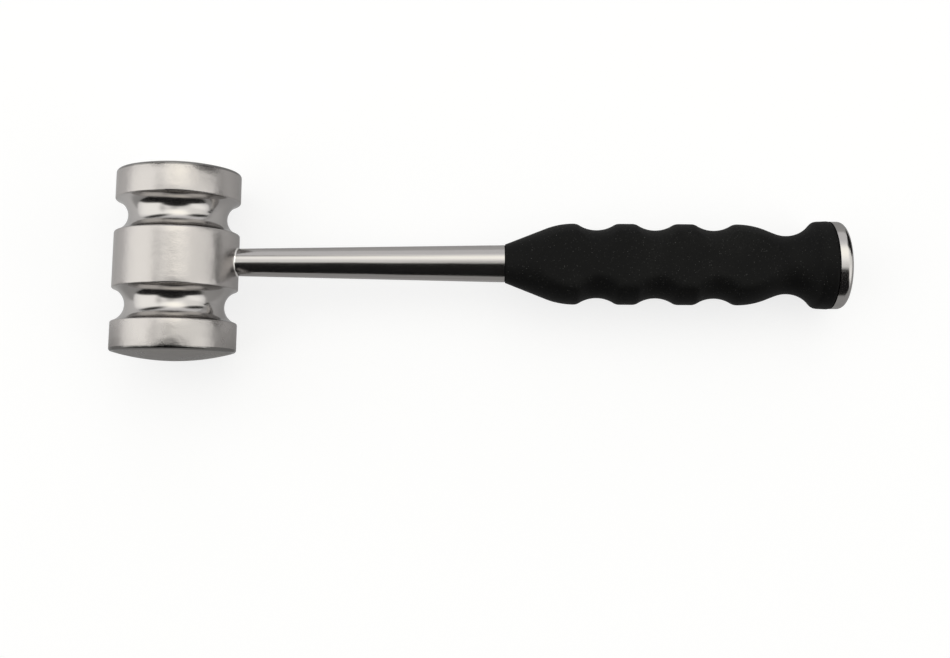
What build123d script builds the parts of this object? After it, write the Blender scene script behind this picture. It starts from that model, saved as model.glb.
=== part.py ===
from build123d import *
from math import acos, asin, atan2, cos, degrees, hypot, radians, sin, tan
import os

os.makedirs("parts", exist_ok=True)

# Surgical mallet, in millimetres. It lies on its side on z = 0, as it comes to rest:
# head axis along Y, handle along +X, origin on the ground under the middle of its length.

# Head: one turned steel bar with three drums, two round waists and crowned striking faces
head_radius = 21.88
drum_edge = 31.85            # from the middle of the head to the edge of a striking face
face_rise = 3.2              # crown of a striking face
face_edge_round = 1.0
waist_place = 15.83          # from the middle of the head to the middle of a waist
waist_depth = 4.62
waist_arc = 6.06
waist_lip_round = 0.66

# Shaft: tapered stem with a spigot in the head and a tang inside the grip
stem_root_radius = 4.90      # where it leaves the head
stem_end_radius = 6.64       # where the grip begins
grip_start = 117.0           # from the head's axis
weld_round = 0.4             # fillet of the weld round the stem's root
spigot_radius = 4.0
spigot_depth = 16.0
spigot_clearance = 0.02
bore_relief = 0.5            # room behind the spigot and behind the stud
shoulder_chamfer = 0.3
tang_radius = 6.0

# Grip: silicone moulded round the tang, with three finger valleys, a neck and a flare
nose_wall = 0.25             # how far the rubber's front edge stands proud of the stem
nose_angle = 21.5            # degrees, the slope of the nose and of the fall to the neck
shoulder_arc = 27.0          # blends those slopes into the crests
flat_distance = 10.9         # from the handle's axis to the thumb flats, front and back
flat_edge_round = 4.0
valley_over_flat = 1.22      # how far the valleys stand out past the flats' distance
valley_count = 3
valley_pitch = 20.9
valley_depth = 2.32
valley_arc = 11.8
valley_lip_arc = 3.8
neck_under_flat = 0.52       # the neck is slimmer than that distance, so the flats run out before it
neck_arc = 11.45
flare_radius = 15.77
flare_corner_arc = 2.2
flare_draft = 2.5            # degrees
flare_width = 4.7
flare_edge_round = 1.15

# End cap: turned steel disc with a stud in the end of the tang
cap_radius = 15.6
cap_width = 4.46
cap_rise = 1.33
cap_edge_round = 2.4
stud_radius = 3.0
stud_length = 12.0
stud_clearance = 0.02

# Outline of the grip, as distances along the handle from the head's axis
slope = radians(nose_angle)
crest_radius = flat_distance + valley_over_flat + valley_depth
neck_radius = flat_distance - neck_under_flat
nose_radius = stem_end_radius + nose_wall
nose_run = (crest_radius - nose_radius - shoulder_arc * (1 - cos(slope))) / tan(slope)
first_crest = grip_start + nose_run + shoulder_arc * sin(slope)
valley_angle = acos(1 - valley_depth / (valley_arc + valley_lip_arc))
crest_width = valley_pitch - 2 * (valley_arc + valley_lip_arc) * sin(valley_angle)
last_crest = first_crest + valley_count * valley_pitch - crest_width
fall_run = (crest_radius - neck_radius - (shoulder_arc + neck_arc) * (1 - cos(slope))) / tan(slope)
neck_place = last_crest + fall_run + (shoulder_arc + neck_arc) * sin(slope)
draft = radians(flare_draft)
flare_rise = flare_radius - neck_radius - flare_width * tan(draft)
flare_angle = acos((neck_arc + flare_corner_arc * cos(draft) - flare_rise) / (neck_arc + flare_corner_arc))
flare_corner = flare_corner_arc * (sin(flare_angle) - sin(draft))
grip_end = neck_place + neck_arc * sin(flare_angle) + flare_corner + flare_width

# Outline of the cap, and the dip of the handle: drums and flare touch the ground
cap_face = grip_end + cap_width
cap_end = cap_face + cap_rise
cap_face_arc = (cap_radius**2 + cap_rise**2) / (2 * cap_rise)
touch_place = grip_end - flare_edge_round
touch_radius = flare_radius - flare_edge_round * (tan(draft) + 1 / cos(draft))
touch_reach = hypot(touch_place, touch_radius)
dip = asin((head_radius - flare_edge_round) / touch_reach) - atan2(touch_radius, touch_place)
cap_reach = (cap_end - cap_face_arc) * cos(dip) + cap_face_arc
head_x = (head_radius - cap_reach) / 2

# Planes and axes
head_plane = Plane(origin=(head_x, 0, head_radius), x_dir=(1, 0, 0), z_dir=(0, 0, 1))
drum_plane = Plane(origin=head_plane.origin, x_dir=(1, 0, 0), z_dir=(0, -1, 0))
handle = Plane(origin=head_plane.origin, x_dir=(cos(dip), 0, -sin(dip)), z_dir=(sin(dip), 0, cos(dip)))
head_axis = Axis(head_plane.origin, head_plane.y_dir)
handle_axis = Axis(handle.origin, handle.x_dir)


def across(place):
    """The plane square to the handle, at a distance from the head's axis."""
    return Plane(origin=handle.from_local_coords((place, 0, 0)), x_dir=handle.y_dir, z_dir=handle.x_dir)


# Head: half of its outline is drawn and mirrored, and the bore takes the spigot
face_arc = (head_radius**2 + face_rise**2) / (2 * face_rise)
with BuildPart() as head:
    with BuildSketch(head_plane):
        with BuildLine():
            Polyline((0, drum_edge + face_rise), (0, 0), (head_radius, 0), (head_radius, drum_edge))
            RadiusArc((head_radius, drum_edge), (0, drum_edge + face_rise), -face_arc)
        make_face()
        with Locations((head_radius + waist_arc - waist_depth, waist_place)):
            Circle(waist_arc, mode=Mode.SUBTRACT)
        face_edge = vertices().group_by(Axis.X)[-1].sort_by(Axis.Y)[-1]
        fillet(face_edge, face_edge_round)
        waist_lips = vertices().group_by(Axis.X)[-1].sort_by(Axis.Y)[1:3]
        fillet(waist_lips, waist_lip_round)
        mirror(about=Plane.XZ)
    revolve(axis=head_axis)
    with BuildSketch(across(head_radius - spigot_depth - bore_relief)):
        Circle(spigot_radius + spigot_clearance)
    extrude(amount=spigot_depth + 2 * bore_relief, mode=Mode.SUBTRACT)
head.part.label = "head"
export_step(head.part, "parts/head.step")

# Shaft: a copy of the middle drum gives the root its weld fillet and its saddle seat
seat_width = waist_place - waist_arc
stem_inside = stem_root_radius
taper = (stem_end_radius - stem_root_radius) / (grip_start - head_radius)
with BuildPart() as shaft:
    with BuildSketch(drum_plane):
        Circle(head_radius)
    extrude(amount=seat_width, both=True)
    with BuildSketch(handle):
        with BuildLine():
            Polyline(
                (head_radius - stem_inside, 0),
                (head_radius - stem_inside, stem_root_radius - stem_inside * taper),
                (grip_start - shoulder_chamfer, stem_end_radius),
                (grip_start, stem_end_radius - shoulder_chamfer),
                (grip_start, tang_radius),
                (grip_end, tang_radius),
                (grip_end, 0),
                close=True,
            )
        make_face()
    revolve(axis=handle_axis)
    saddle = edges().filter_by(GeomType.BSPLINE)
    fillet(saddle, weld_round)
    with BuildSketch(drum_plane):
        Circle(head_radius)
    extrude(amount=seat_width, both=True, mode=Mode.SUBTRACT)
    with BuildSketch(across(head_radius - spigot_depth)):
        Circle(spigot_radius)
    extrude(amount=spigot_depth + bore_relief)
    with BuildSketch(across(grip_end)):
        Circle(stud_radius + stud_clearance)
    extrude(amount=-(stud_length + bore_relief), mode=Mode.SUBTRACT)
shaft.part.label = "shaft"
export_step(shaft.part, "parts/shaft.step")

# Grip: a chain of tangent arcs turned round the handle's axis, then flattened front and back
valley_turn = degrees(valley_angle)
flare_turn = degrees(flare_angle)
with BuildPart() as grip:
    with BuildSketch(handle):
        with BuildLine():
            nose = Line((grip_start, nose_radius), (grip_start + nose_run, nose_radius + nose_run * tan(slope)))
            edge = JernArc(nose @ 1, nose % 1, shoulder_arc, -nose_angle)
            for valley in range(valley_count):
                if valley > 0:
                    edge = Line(edge @ 1, edge @ 1 + (crest_width, 0))
                edge = JernArc(edge @ 1, (1, 0), valley_lip_arc, -valley_turn)
                edge = JernArc(edge @ 1, edge % 1, valley_arc, 2 * valley_turn)
                edge = JernArc(edge @ 1, edge % 1, valley_lip_arc, -valley_turn)
            edge = JernArc(edge @ 1, (1, 0), shoulder_arc, -nose_angle)
            edge = Line(edge @ 1, edge @ 1 + (fall_run, -fall_run * tan(slope)))
            edge = JernArc(edge @ 1, edge % 1, neck_arc, nose_angle + flare_turn)
            edge = JernArc(edge @ 1, edge % 1, flare_corner_arc, flare_draft - flare_turn)
            Polyline(
                edge @ 1,
                (grip_end, flare_radius),
                (grip_end, tang_radius),
                (grip_start, tang_radius),
                (grip_start, nose_radius),
            )
        make_face()
        rim = vertices().group_by(Axis.X)[-1].sort_by(Axis.Y)[-1]
        fillet(rim, flare_edge_round)
    revolve(axis=handle_axis)
    for side in (1, -1):
        with BuildSketch(handle.offset(side * flat_distance)):
            with Locations(((grip_start + neck_place) / 2, 0)):
                Rectangle(neck_place - grip_start, 2 * crest_radius)
        extrude(amount=side * crest_radius, mode=Mode.SUBTRACT)
    flats = faces().filter_by(Plane(handle.origin, z_dir=handle.z_dir))
    fillet(flats.edges(), flat_edge_round)
grip.part.label = "grip"
export_step(grip.part, "parts/grip.step")

# End cap: disc and stud turned in one, with a crowned face
with BuildPart() as end_cap:
    with BuildSketch(handle):
        with BuildLine():
            Polyline(
                (cap_end, 0),
                (grip_end - stud_length, 0),
                (grip_end - stud_length, stud_radius),
                (grip_end, stud_radius),
                (grip_end, cap_radius),
                (cap_face, cap_radius),
            )
            RadiusArc((cap_face, cap_radius), (cap_end, 0), cap_face_arc)
        make_face()
        corner = vertices().group_by(Axis.Y)[-1].sort_by(Axis.X)[-1]
        fillet(corner, cap_edge_round)
    revolve(axis=handle_axis)
end_cap.part.label = "end_cap"
export_step(end_cap.part, "parts/end_cap.step")

print(f"overall length {cap_reach + head_radius:.2f}, the handle dips by {degrees(dip):.2f} degrees")
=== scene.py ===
from math import cos, pi, radians, sin

import bpy
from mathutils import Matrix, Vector

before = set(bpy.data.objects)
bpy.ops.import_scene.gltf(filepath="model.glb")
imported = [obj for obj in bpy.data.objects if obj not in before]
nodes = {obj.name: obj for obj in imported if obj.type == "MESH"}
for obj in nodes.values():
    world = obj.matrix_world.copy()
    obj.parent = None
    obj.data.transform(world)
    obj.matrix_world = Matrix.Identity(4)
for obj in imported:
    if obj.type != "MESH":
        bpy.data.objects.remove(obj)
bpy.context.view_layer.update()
scene = bpy.context.scene
scene.view_settings.view_transform = "Standard"
print("frame loaded:", ", ".join(sorted(nodes)))


# one output of a node tree; expressions on it add Math, Mix and Vector Math nodes
class Wire:
    def __init__(self, shader, socket):
        self.shader = shader
        self.socket = socket

    def maths(self, operation, *values):
        return self.shader.node("ShaderNodeMath", {"operation": operation}, dict(enumerate(values)))

    def __add__(self, other):
        return self.maths("ADD", self, other)

    def __radd__(self, other):
        return self.maths("ADD", other, self)

    def __sub__(self, other):
        return self.maths("SUBTRACT", self, other)

    def __rsub__(self, other):
        return self.maths("SUBTRACT", other, self)

    def __mul__(self, other):
        return self.maths("MULTIPLY", self, other)

    def __rmul__(self, other):
        return self.maths("MULTIPLY", other, self)

    def __truediv__(self, other):
        return self.maths("DIVIDE", self, other)

    def __rtruediv__(self, other):
        return self.maths("DIVIDE", other, self)

    def __pow__(self, other):
        return self.maths("POWER", self, other)

    def __rpow__(self, other):
        return self.maths("POWER", other, self)

    def root(self):
        return self.maths("SQRT", self)

    def size(self):
        return self.maths("ABSOLUTE", self)

    def orMore(self, other):
        return self.maths("MAXIMUM", self, other)

    # 0 below low, 1 above high, and smooth between them
    def step(self, low, high):
        settings = {"interpolation_type": "SMOOTHSTEP"}
        return self.shader.node("ShaderNodeMapRange", settings, {"Value": self, 1: low, 2: high})

    def clamp(self):
        return self.shader.node("ShaderNodeClamp", {}, {0: self})

    # a colour between two others, with this value as the share of the second
    def blend(self, first, second):
        settings = {"data_type": "RGBA"}
        return self.shader.node("ShaderNodeMix", settings, {0: self, 6: first, 7: second}, 2)

    def stretch(self, factors):
        return self.shader.node("ShaderNodeVectorMath", {"operation": "MULTIPLY"}, {0: self, 1: factors})

    def towards(self, target):
        away = self.shader.node("ShaderNodeVectorMath", {"operation": "SUBTRACT"}, {0: self, 1: target})
        return self.shader.node("ShaderNodeVectorMath", {"operation": "NORMALIZE"}, {0: away})

    def parts(self):
        cut = self.shader.node("ShaderNodeSeparateXYZ", {}, {0: self})
        return [cut.output(index) for index in range(3)]

    def output(self, index):
        return Wire(self.shader, self.socket.node.outputs[index])


# a node tree that is filled by expressions
class Shader:
    def __init__(self, owner):
        owner.use_nodes = True
        self.tree = owner.node_tree
        self.tree.nodes.clear()

    # any node: its type, its settings, its sockets by name or number, and the output handed back
    def node(self, kind, settings, sockets, output=0):
        made = self.tree.nodes.new(kind)
        for name, value in settings.items():
            setattr(made, name, value)
        for name, value in sockets.items():
            if isinstance(value, Wire):
                self.tree.links.new(value.socket, made.inputs[name])
            else:
                made.inputs[name].default_value = value
        return Wire(self, made.outputs[output]) if made.outputs else None

    def objectPlace(self):
        return self.node("ShaderNodeTexCoord", {}, {}, "Object")

    def noise(self, place, scale, detail, roughness):
        sockets = {"Vector": place, "Scale": scale, "Detail": detail, "Roughness": roughness}
        return self.node("ShaderNodeTexNoise", {}, sockets, "Fac")

    # a height in metres, or one from 0 to 1 with the metres as its distance
    def bump(self, height, distance=1.0, strength=1.0):
        sockets = {"Height": height, "Distance": distance, "Strength": strength}
        return self.node("ShaderNodeBump", {}, sockets)

    def surface(self, sockets):
        shader = self.node("ShaderNodeBsdfPrincipled", {}, sockets)
        self.node("ShaderNodeOutputMaterial", {}, {"Surface": shader})


def newMaterial(name, node):
    material = bpy.data.materials.new(name)
    slots = nodes[node].material_slots
    for slot in slots:
        slot.material = material
    if not slots:
        nodes[node].data.materials.append(material)
    return Shader(material)


# camera, as the photograph was taken: from nearly straight above
camera = {
    "place": (0.0076104, -0.0591945, 0.4461785),
    "turn": (0.15029, 0.02159, 0.00432),
    "lens": 45.860,
    "sensor": 36,
    "shiftY": -0.08477,
    "nearest": 0.01,
}
cameraData = bpy.data.cameras.new("camera")
cameraData.lens = camera["lens"]
cameraData.sensor_width = camera["sensor"]
cameraData.shift_y = camera["shiftY"]
cameraData.clip_start = camera["nearest"]
cameraObject = bpy.data.objects.new("camera", cameraData)
cameraObject.location = camera["place"]
cameraObject.rotation_euler = camera["turn"]
scene.collection.objects.link(cameraObject)
scene.camera = cameraObject
print("camera set")


def stagePiece(name):
    made = bpy.context.object
    made.name = name
    bpy.ops.object.transform_apply(location=True, rotation=True, scale=True)
    made.data.materials.append(bpy.data.materials.new(name))
    return made, Shader(made.data.materials[0])


# 1 for the rays that show the background: the camera's, and those off metal and glass
def backgroundRays(shader):
    seen = shader.node("ShaderNodeLightPath", {}, {}, "Is Camera Ray")
    seen = seen + shader.node("ShaderNodeLightPath", {}, {}, "Is Glossy Ray")
    seen = seen + shader.node("ShaderNodeLightPath", {}, {}, "Is Transmission Ray")
    return seen.clamp()


# floor: pale, and white to the camera; metal sees painted shade on it, darker on the sides named here
floor = {
    "radius": 6.0,
    "colour": (0.30, 0.30, 0.30, 1),
    "white": 0.76,
    "shade": 0.09,
    "right": ((-0.105, -0.085, 0.26), (-0.078, -0.028, -0.05), (0.02, 0.10, 0.14)),  # from x, to x, depth
    "left": ((-0.150, -0.134, 0.17),),
    "front": {"start": 0.010, "width": 0.03, "depth": 0.42},
    "frontByStem": {"from": -0.09, "to": -0.07, "sooner": 0.005},
    "far": {"from": 0.16, "to": 0.30, "depth": 0.85},
    "farWedge": {"middle": -0.06, "inner": 0.6, "outer": 1.2},  # half widths to each metre of distance
}


def ramps(value, steps):
    total = 0
    for start, end, depth in steps:
        total = value.step(start, end) * depth + total
    return total


bpy.ops.object.select_all(action="DESELECT")
bpy.ops.mesh.primitive_circle_add(vertices=96, radius=floor["radius"], fill_type="NGON")
floorPiece, board = stagePiece("floor")
x, y, z = board.objectPlace().parts()
forward = 0 - y
byStem = floor["frontByStem"]
frontStart = floor["front"]["start"] - x.step(byStem["from"], byStem["to"]) * byStem["sooner"]
frontShade = (forward - frontStart).step(0, floor["front"]["width"]) * floor["front"]["depth"]
wedge = floor["farWedge"]
spread = (x - wedge["middle"]).size() / (forward + 0.001)
inWedge = 1 - spread.step(wedge["inner"], wedge["outer"])
farShade = forward.step(floor["far"]["from"], floor["far"]["to"]) * inWedge * floor["far"]["depth"]
shade = frontShade.orMore(ramps(x, floor["right"])).orMore(farShade).orMore(ramps(x, floor["left"]))
shade = shade + floor["shade"]
# the painted shade dims the floor's glow for every ray but the camera's
cameraRay = board.node("ShaderNodeLightPath", {}, {}, "Is Camera Ray")
board.surface({
    "Base Color": floor["colour"],
    "Roughness": 1.0,
    "Specular IOR Level": 0.0,
    "Emission Color": (1, 1, 1, 1),
    "Emission Strength": backgroundRays(board) * (floor["white"] - shade * (1 - cameraRay)),
})

# light tent: ovals of more and less light, and gaps, in front and as two slits behind
# middles and half widths are in degrees from straight above, toward +X and +Y
tent = {
    "radius": 6.0,
    "middle": (-0.05, 0, 0.02),
    "wall": 0.98,
    "black": 0.018,
    "diffuseShare": 0.75,
    "wallColour": (1, 1, 1, 1),
    "roofColour": (1, 1, 0.965, 1),
    "glowColour": (1, 0.985, 0.90, 1),
}
glows = {
    "roof": {"middle": (0, 2), "half": (107, 60), "edge": 0.42, "power": 5, "glow": 0.74},
    "backGlow": {"middle": (14, 26), "half": (36, 26), "edge": 0.9, "glow": 0.45},
    "zenithDim": {"middle": (-6, 2), "half": (26, 16), "edge": 0.9, "glow": -0.30},
    "rightFade": {"middle": (58, 18), "half": (33, 34), "edge": 0.5, "glow": -0.32},
    "rightDim": {"middle": (130, 0), "half": (60, 120), "edge": 0.6, "glow": -0.52},
}
gaps = {
    "frontLeft": {"middle": (-40, -92), "half": (50, 63.5), "edge": 0.12, "power": 3},
    "frontRight": {"middle": (22, -86), "half": (58, 54), "edge": 0.12},
    "frontHead": {"middle": (6, -36), "half": (38, 28), "edge": 0.3},
    "leftSlit": {"middle": (-37, 52), "half": (45, 15), "edge": 0.7, "turn": -20},
    "rightSlit": {"middle": (59, 43), "half": (40, 16), "edge": 0.6, "turn": -7},
    "leftStreak": {"middle": (-22, -2), "half": (12, 40), "edge": 1.0, "depth": 0.44},
    "middleStreak": {"middle": (5, -6), "half": (14, 20), "edge": 1.0, "depth": 0.36},
    "frontDim": {"middle": (20, -12), "half": (42, 24), "edge": 0.9, "depth": 0.26},
}


# 1 in the middle of an oval on the tent, 0 outside it
def oval(alongX, alongY, shape):
    turn = radians(shape.get("turn", 0))
    power = shape.get("power", 2)
    x = alongX - shape["middle"][0]
    y = alongY - shape["middle"][1]
    across = (x * cos(turn) + y * sin(turn)) / shape["half"][0]
    upward = (y * cos(turn) - x * sin(turn)) / shape["half"][1]
    reach = (across.size() ** power + upward.size() ** power) ** (1 / power)
    return 1 - reach.step(1 - shape["edge"], 1.0)


bpy.ops.object.select_all(action="DESELECT")
bpy.ops.mesh.primitive_uv_sphere_add(
    segments=64, ring_count=32, radius=tent["radius"], location=tent["middle"]
)
tentPiece, fabric = stagePiece("lightTent")
tentPiece.visible_camera = False
tentPiece.data.materials[0].cycles.emission_sampling = "NONE"  # all round, so rays find it without help
x, y, z = fabric.objectPlace().towards(tent["middle"]).parts()
slant = z.maths("ARCCOSINE", z) * (180 / pi)
flat = (x ** 2 + y ** 2).root() + 0.0001  # never quite zero, for the division
alongX = x / flat * slant
alongY = y / flat * slant
level = tent["wall"]
for shape in glows.values():
    level = oval(alongX, alongY, shape) * shape["glow"] + level
for shape in gaps.values():
    level = level * (1 - oval(alongX, alongY, shape) * shape.get("depth", 1))
level = level + tent["black"]
share = tent["diffuseShare"] + backgroundRays(fabric) * (1 - tent["diffuseShare"])
colour = oval(alongX, alongY, glows["roof"]).blend(tent["wallColour"], tent["roofColour"])
colour = oval(alongX, alongY, glows["backGlow"]).blend(colour, tent["glowColour"])
light = fabric.node("ShaderNodeEmission", {}, {"Color": colour, "Strength": level * share})
fabric.node("ShaderNodeOutputMaterial", {}, {"Surface": light})

# a black card beyond the end cap, which only the steel shows
card = {
    "middle": (0.177, 0.036, 0.026),
    "size": (0.050, 0.052, 1),
    "turn": -46,
    "colour": (0.01, 0.01, 0.01, 1),
}
bpy.ops.object.select_all(action="DESELECT")
upright = (pi / 2, 0, radians(card["turn"]))
bpy.ops.mesh.primitive_plane_add(size=1, location=card["middle"], rotation=upright)
bpy.context.object.scale = card["size"]
cardPiece, paper = stagePiece("card")
cardPiece.visible_camera = False
cardPiece.visible_shadow = False
cardPiece.visible_diffuse = False
paper.surface({"Base Color": card["colour"], "Roughness": 1.0, "Specular IOR Level": 0.0})

world = bpy.data.worlds.new("room")
scene.world = world
room = Shader(world)
background = room.node("ShaderNodeBackground", {}, {"Color": (1, 1, 1, 1), "Strength": 1.0})
room.node("ShaderNodeOutputWorld", {}, {"Surface": background})
print("studio set")


# head: satin drums and striking faces, two polished waists, and burnished rims round the faces, darkened in
# colour by painted shade
headSteel = {
    "satin": (0.420, 0.399, 0.388, 1),
    "polished": (0.445, 0.428, 0.418, 1),
    # the rims' dark colour is painted shade
    "rim": (0.22, 0.212, 0.206, 1),
    "tint": (0.7, 0.7, 0.7, 1),
    "satinRoughness": 0.25,
    "polishedRoughness": 0.17,
    "rimRoughness": 0.09,
    "lowDrum": {"from": 0.020, "to": 0.030, "rougher": 0.09},
    "waistPlace": 0.01583,
    "waistHalf": 0.0060,
    "waistBlend": 0.0008,
    "waistUnder": 0.0006,  # how far below the drums' wall a waist is wholly polished
    "rimAlong": (0.0308, 0.0312),
    "rimFromAxis": (0.0200, 0.0206),
    "keptGrain": 0.05,  # the share of the satin's unevenness that the polish leaves
    "cloud": {"scale": 90, "detail": 3.0, "roughness": 0.55, "rougher": 0.08},
    "uneven": {"scale": 150, "detail": 2.0, "roughness": 0.5, "height": 0.00024},
    "grain": {"scale": 1500, "detail": 3.0, "roughness": 0.6, "height": 0.00004},
    "turning": {"scales": (1400, 4000, 1400), "height": 0.00001},
    # toward its rims a drum's wall falls away: where from, where to, how far at the end
    "falls": (
        (0.0074, 0.0096, 0.00016),
        (0.0245, 0.0221, 0.00012),
        (0.0222, 0.0312, 0.00050),
        (0.0276, 0.0312, 0.00024),
    ),
}
headCorners = [Vector(corner) for corner in nodes["head"].bound_box]
headMiddle = sum(headCorners, Vector()) / len(headCorners)
headRadius = max(corner.x for corner in headCorners) - headMiddle.x


def distanceFromHeadAxis(x, z):
    return ((x - headMiddle.x) ** 2 + (z - headMiddle.z) ** 2).root()


head = newMaterial("satinSteel", "head")
place = head.objectPlace()
x, y, z = place.parts()
along = y.size()
fromAxis = distanceFromHeadAxis(x, z)
fromWaist = (along - headSteel["waistPlace"]).size()
under = (headRadius - fromAxis).step(0.0, headSteel["waistUnder"])
waistEnd = headSteel["waistHalf"] + headSteel["waistBlend"]
waist = (1 - fromWaist.step(headSteel["waistHalf"], waistEnd)) * under
# the rims round the faces: smoother, and darker in colour as painted shade
rim = along.step(*headSteel["rimAlong"]) * fromAxis.step(*headSteel["rimFromAxis"])

uneven, grain, turning = headSteel["uneven"], headSteel["grain"], headSteel["turning"]
height = head.noise(place, uneven["scale"], uneven["detail"], uneven["roughness"]) * uneven["height"]
height = height + head.noise(place, grain["scale"], grain["detail"], grain["roughness"]) * grain["height"]
height = height + head.noise(place.stretch(turning["scales"]), 1.0, 1.0, 0.5) * turning["height"]
height = height * (1 - waist * (1 - headSteel["keptGrain"]))
for start, end, depth in headSteel["falls"]:
    height = height - ((along - start) / (end - start)).clamp() ** 2 * depth

cloud, lowDrum = headSteel["cloud"], headSteel["lowDrum"]
clouds = head.noise(place, cloud["scale"], cloud["detail"], cloud["roughness"])
low = (0 - y).step(lowDrum["from"], lowDrum["to"]) * clouds.step(0.3, 0.6)
satinRoughness = headSteel["satinRoughness"] + (clouds - 0.5) * cloud["rougher"] + low * lowDrum["rougher"]
rimGain = headSteel["polishedRoughness"] - headSteel["rimRoughness"]
shineRoughness = headSteel["polishedRoughness"] - rim * rimGain
colour = waist.blend(headSteel["satin"], headSteel["polished"])
head.surface({
    "Base Color": rim.blend(colour, headSteel["rim"]),
    "Metallic": 1.0,
    "Specular Tint": headSteel["tint"],
    "Roughness": satinRoughness + waist.orMore(rim) * (shineRoughness - satinRoughness),
    "Normal": head.bump(height),
})


# shaft and cap: polished steel, with a bright line of painted highlight where the stem is welded to the
# head
polishedSteel = {
    "colour": (0.43, 0.414, 0.406, 1),
    # a painted highlight: the bright colour stands in for light off a fillet
    "paintedWeldHighlight": (0.80, 0.78, 0.76, 1),
    "tint": (0.7, 0.7, 0.7, 1),
    "beadWidth": 0.0004,
    "beadFade": 0.0002,
    "roughness": 0.17,
    "drawn": {"scales": (60, 1500, 1500), "detail": 3.0, "rougher": 0.08, "height": 0.00002},
    "flat": {"from": -0.004, "to": 0.0025, "height": 0.00036},  # along y, over the top of the stem
}
drawn, flatTop = polishedSteel["drawn"], polishedSteel["flat"]
for node in ("shaft", "end_cap"):
    steel = newMaterial("polishedSteel_" + node, node)
    place = steel.objectPlace()
    lines = steel.noise(place.stretch(drawn["scales"]), 1.0, drawn["detail"], 0.5)
    sockets = {
        "Base Color": polishedSteel["colour"],
        "Metallic": 1.0,
        "Specular Tint": polishedSteel["tint"],
        "Roughness": polishedSteel["roughness"] + (lines - 0.5) * drawn["rougher"],
    }
    if node == "shaft":
        x, y, z = place.parts()
        height = y.step(flatTop["from"], flatTop["to"]) * flatTop["height"] + lines * drawn["height"]
        sockets["Normal"] = steel.bump(height)
        # a thin ring on the stem next to the head, painted bright as a highlight
        beadEnd = polishedSteel["beadWidth"] + polishedSteel["beadFade"]
        fromHead = distanceFromHeadAxis(x, z) - headRadius
        paintedWeldHighlight = 1 - fromHead.step(polishedSteel["beadWidth"], beadEnd)
        sockets["Base Color"] = paintedWeldHighlight.blend(polishedSteel["colour"], polishedSteel["paintedWeldHighlight"])
    steel.surface(sockets)


# grip: black silicone with a thin film and specks of dust
silicone = {
    "colour": (0.0046, 0.0046, 0.0046, 1),
    "film": (0.0095, 0.0095, 0.0092, 1),
    "dust": (0.12, 0.12, 0.117, 1),
    "roughness": 0.62,
    "specular": 0.09,
    "mottle": {"scale": 1400, "detail": 3.0, "roughness": 0.6, "height": 0.00008, "strength": 0.3},
    "patches": {"scale": 55, "detail": 2.0, "roughness": 0.55, "edges": (0.42, 0.72)},
    # cells to the metre, the share of them left clean, and a speck's radius in its cell
    "specks": ((2000, 0.60, 0.30), (1100, 0.78, 0.20), (560, 0.86, 0.11)),
    "faintest": 0.2,
}
mottle, patches = silicone["mottle"], silicone["patches"]
rubber = newMaterial("blackSilicone", "grip")
place = rubber.objectPlace()
mottled = rubber.noise(place, mottle["scale"], mottle["detail"], mottle["roughness"])
patched = rubber.noise(place, patches["scale"], patches["detail"], patches["roughness"])
film = patched.step(*patches["edges"]) * mottled.step(0.25, 0.75)
specks = film * 0
for cells, clean, radius in silicone["specks"]:
    distance = rubber.node("ShaderNodeTexVoronoi", {}, {"Vector": place, "Scale": float(cells)}, "Distance")
    chance, strength, spare = distance.output(1).parts()  # the cell's colour, drawn at random
    speck = (1 - distance.step(radius * 0.3, radius)) * chance.step(clean, 1.0)
    specks = specks.orMore(speck * (strength * (1 - silicone["faintest"]) + silicone["faintest"]))
rubber.surface({
    "Base Color": specks.blend(film.blend(silicone["colour"], silicone["film"]), silicone["dust"]),
    "Roughness": silicone["roughness"],
    "Specular IOR Level": silicone["specular"],
    "Normal": rubber.bump(mottled, mottle["height"], mottle["strength"]),
})
print("materials set")
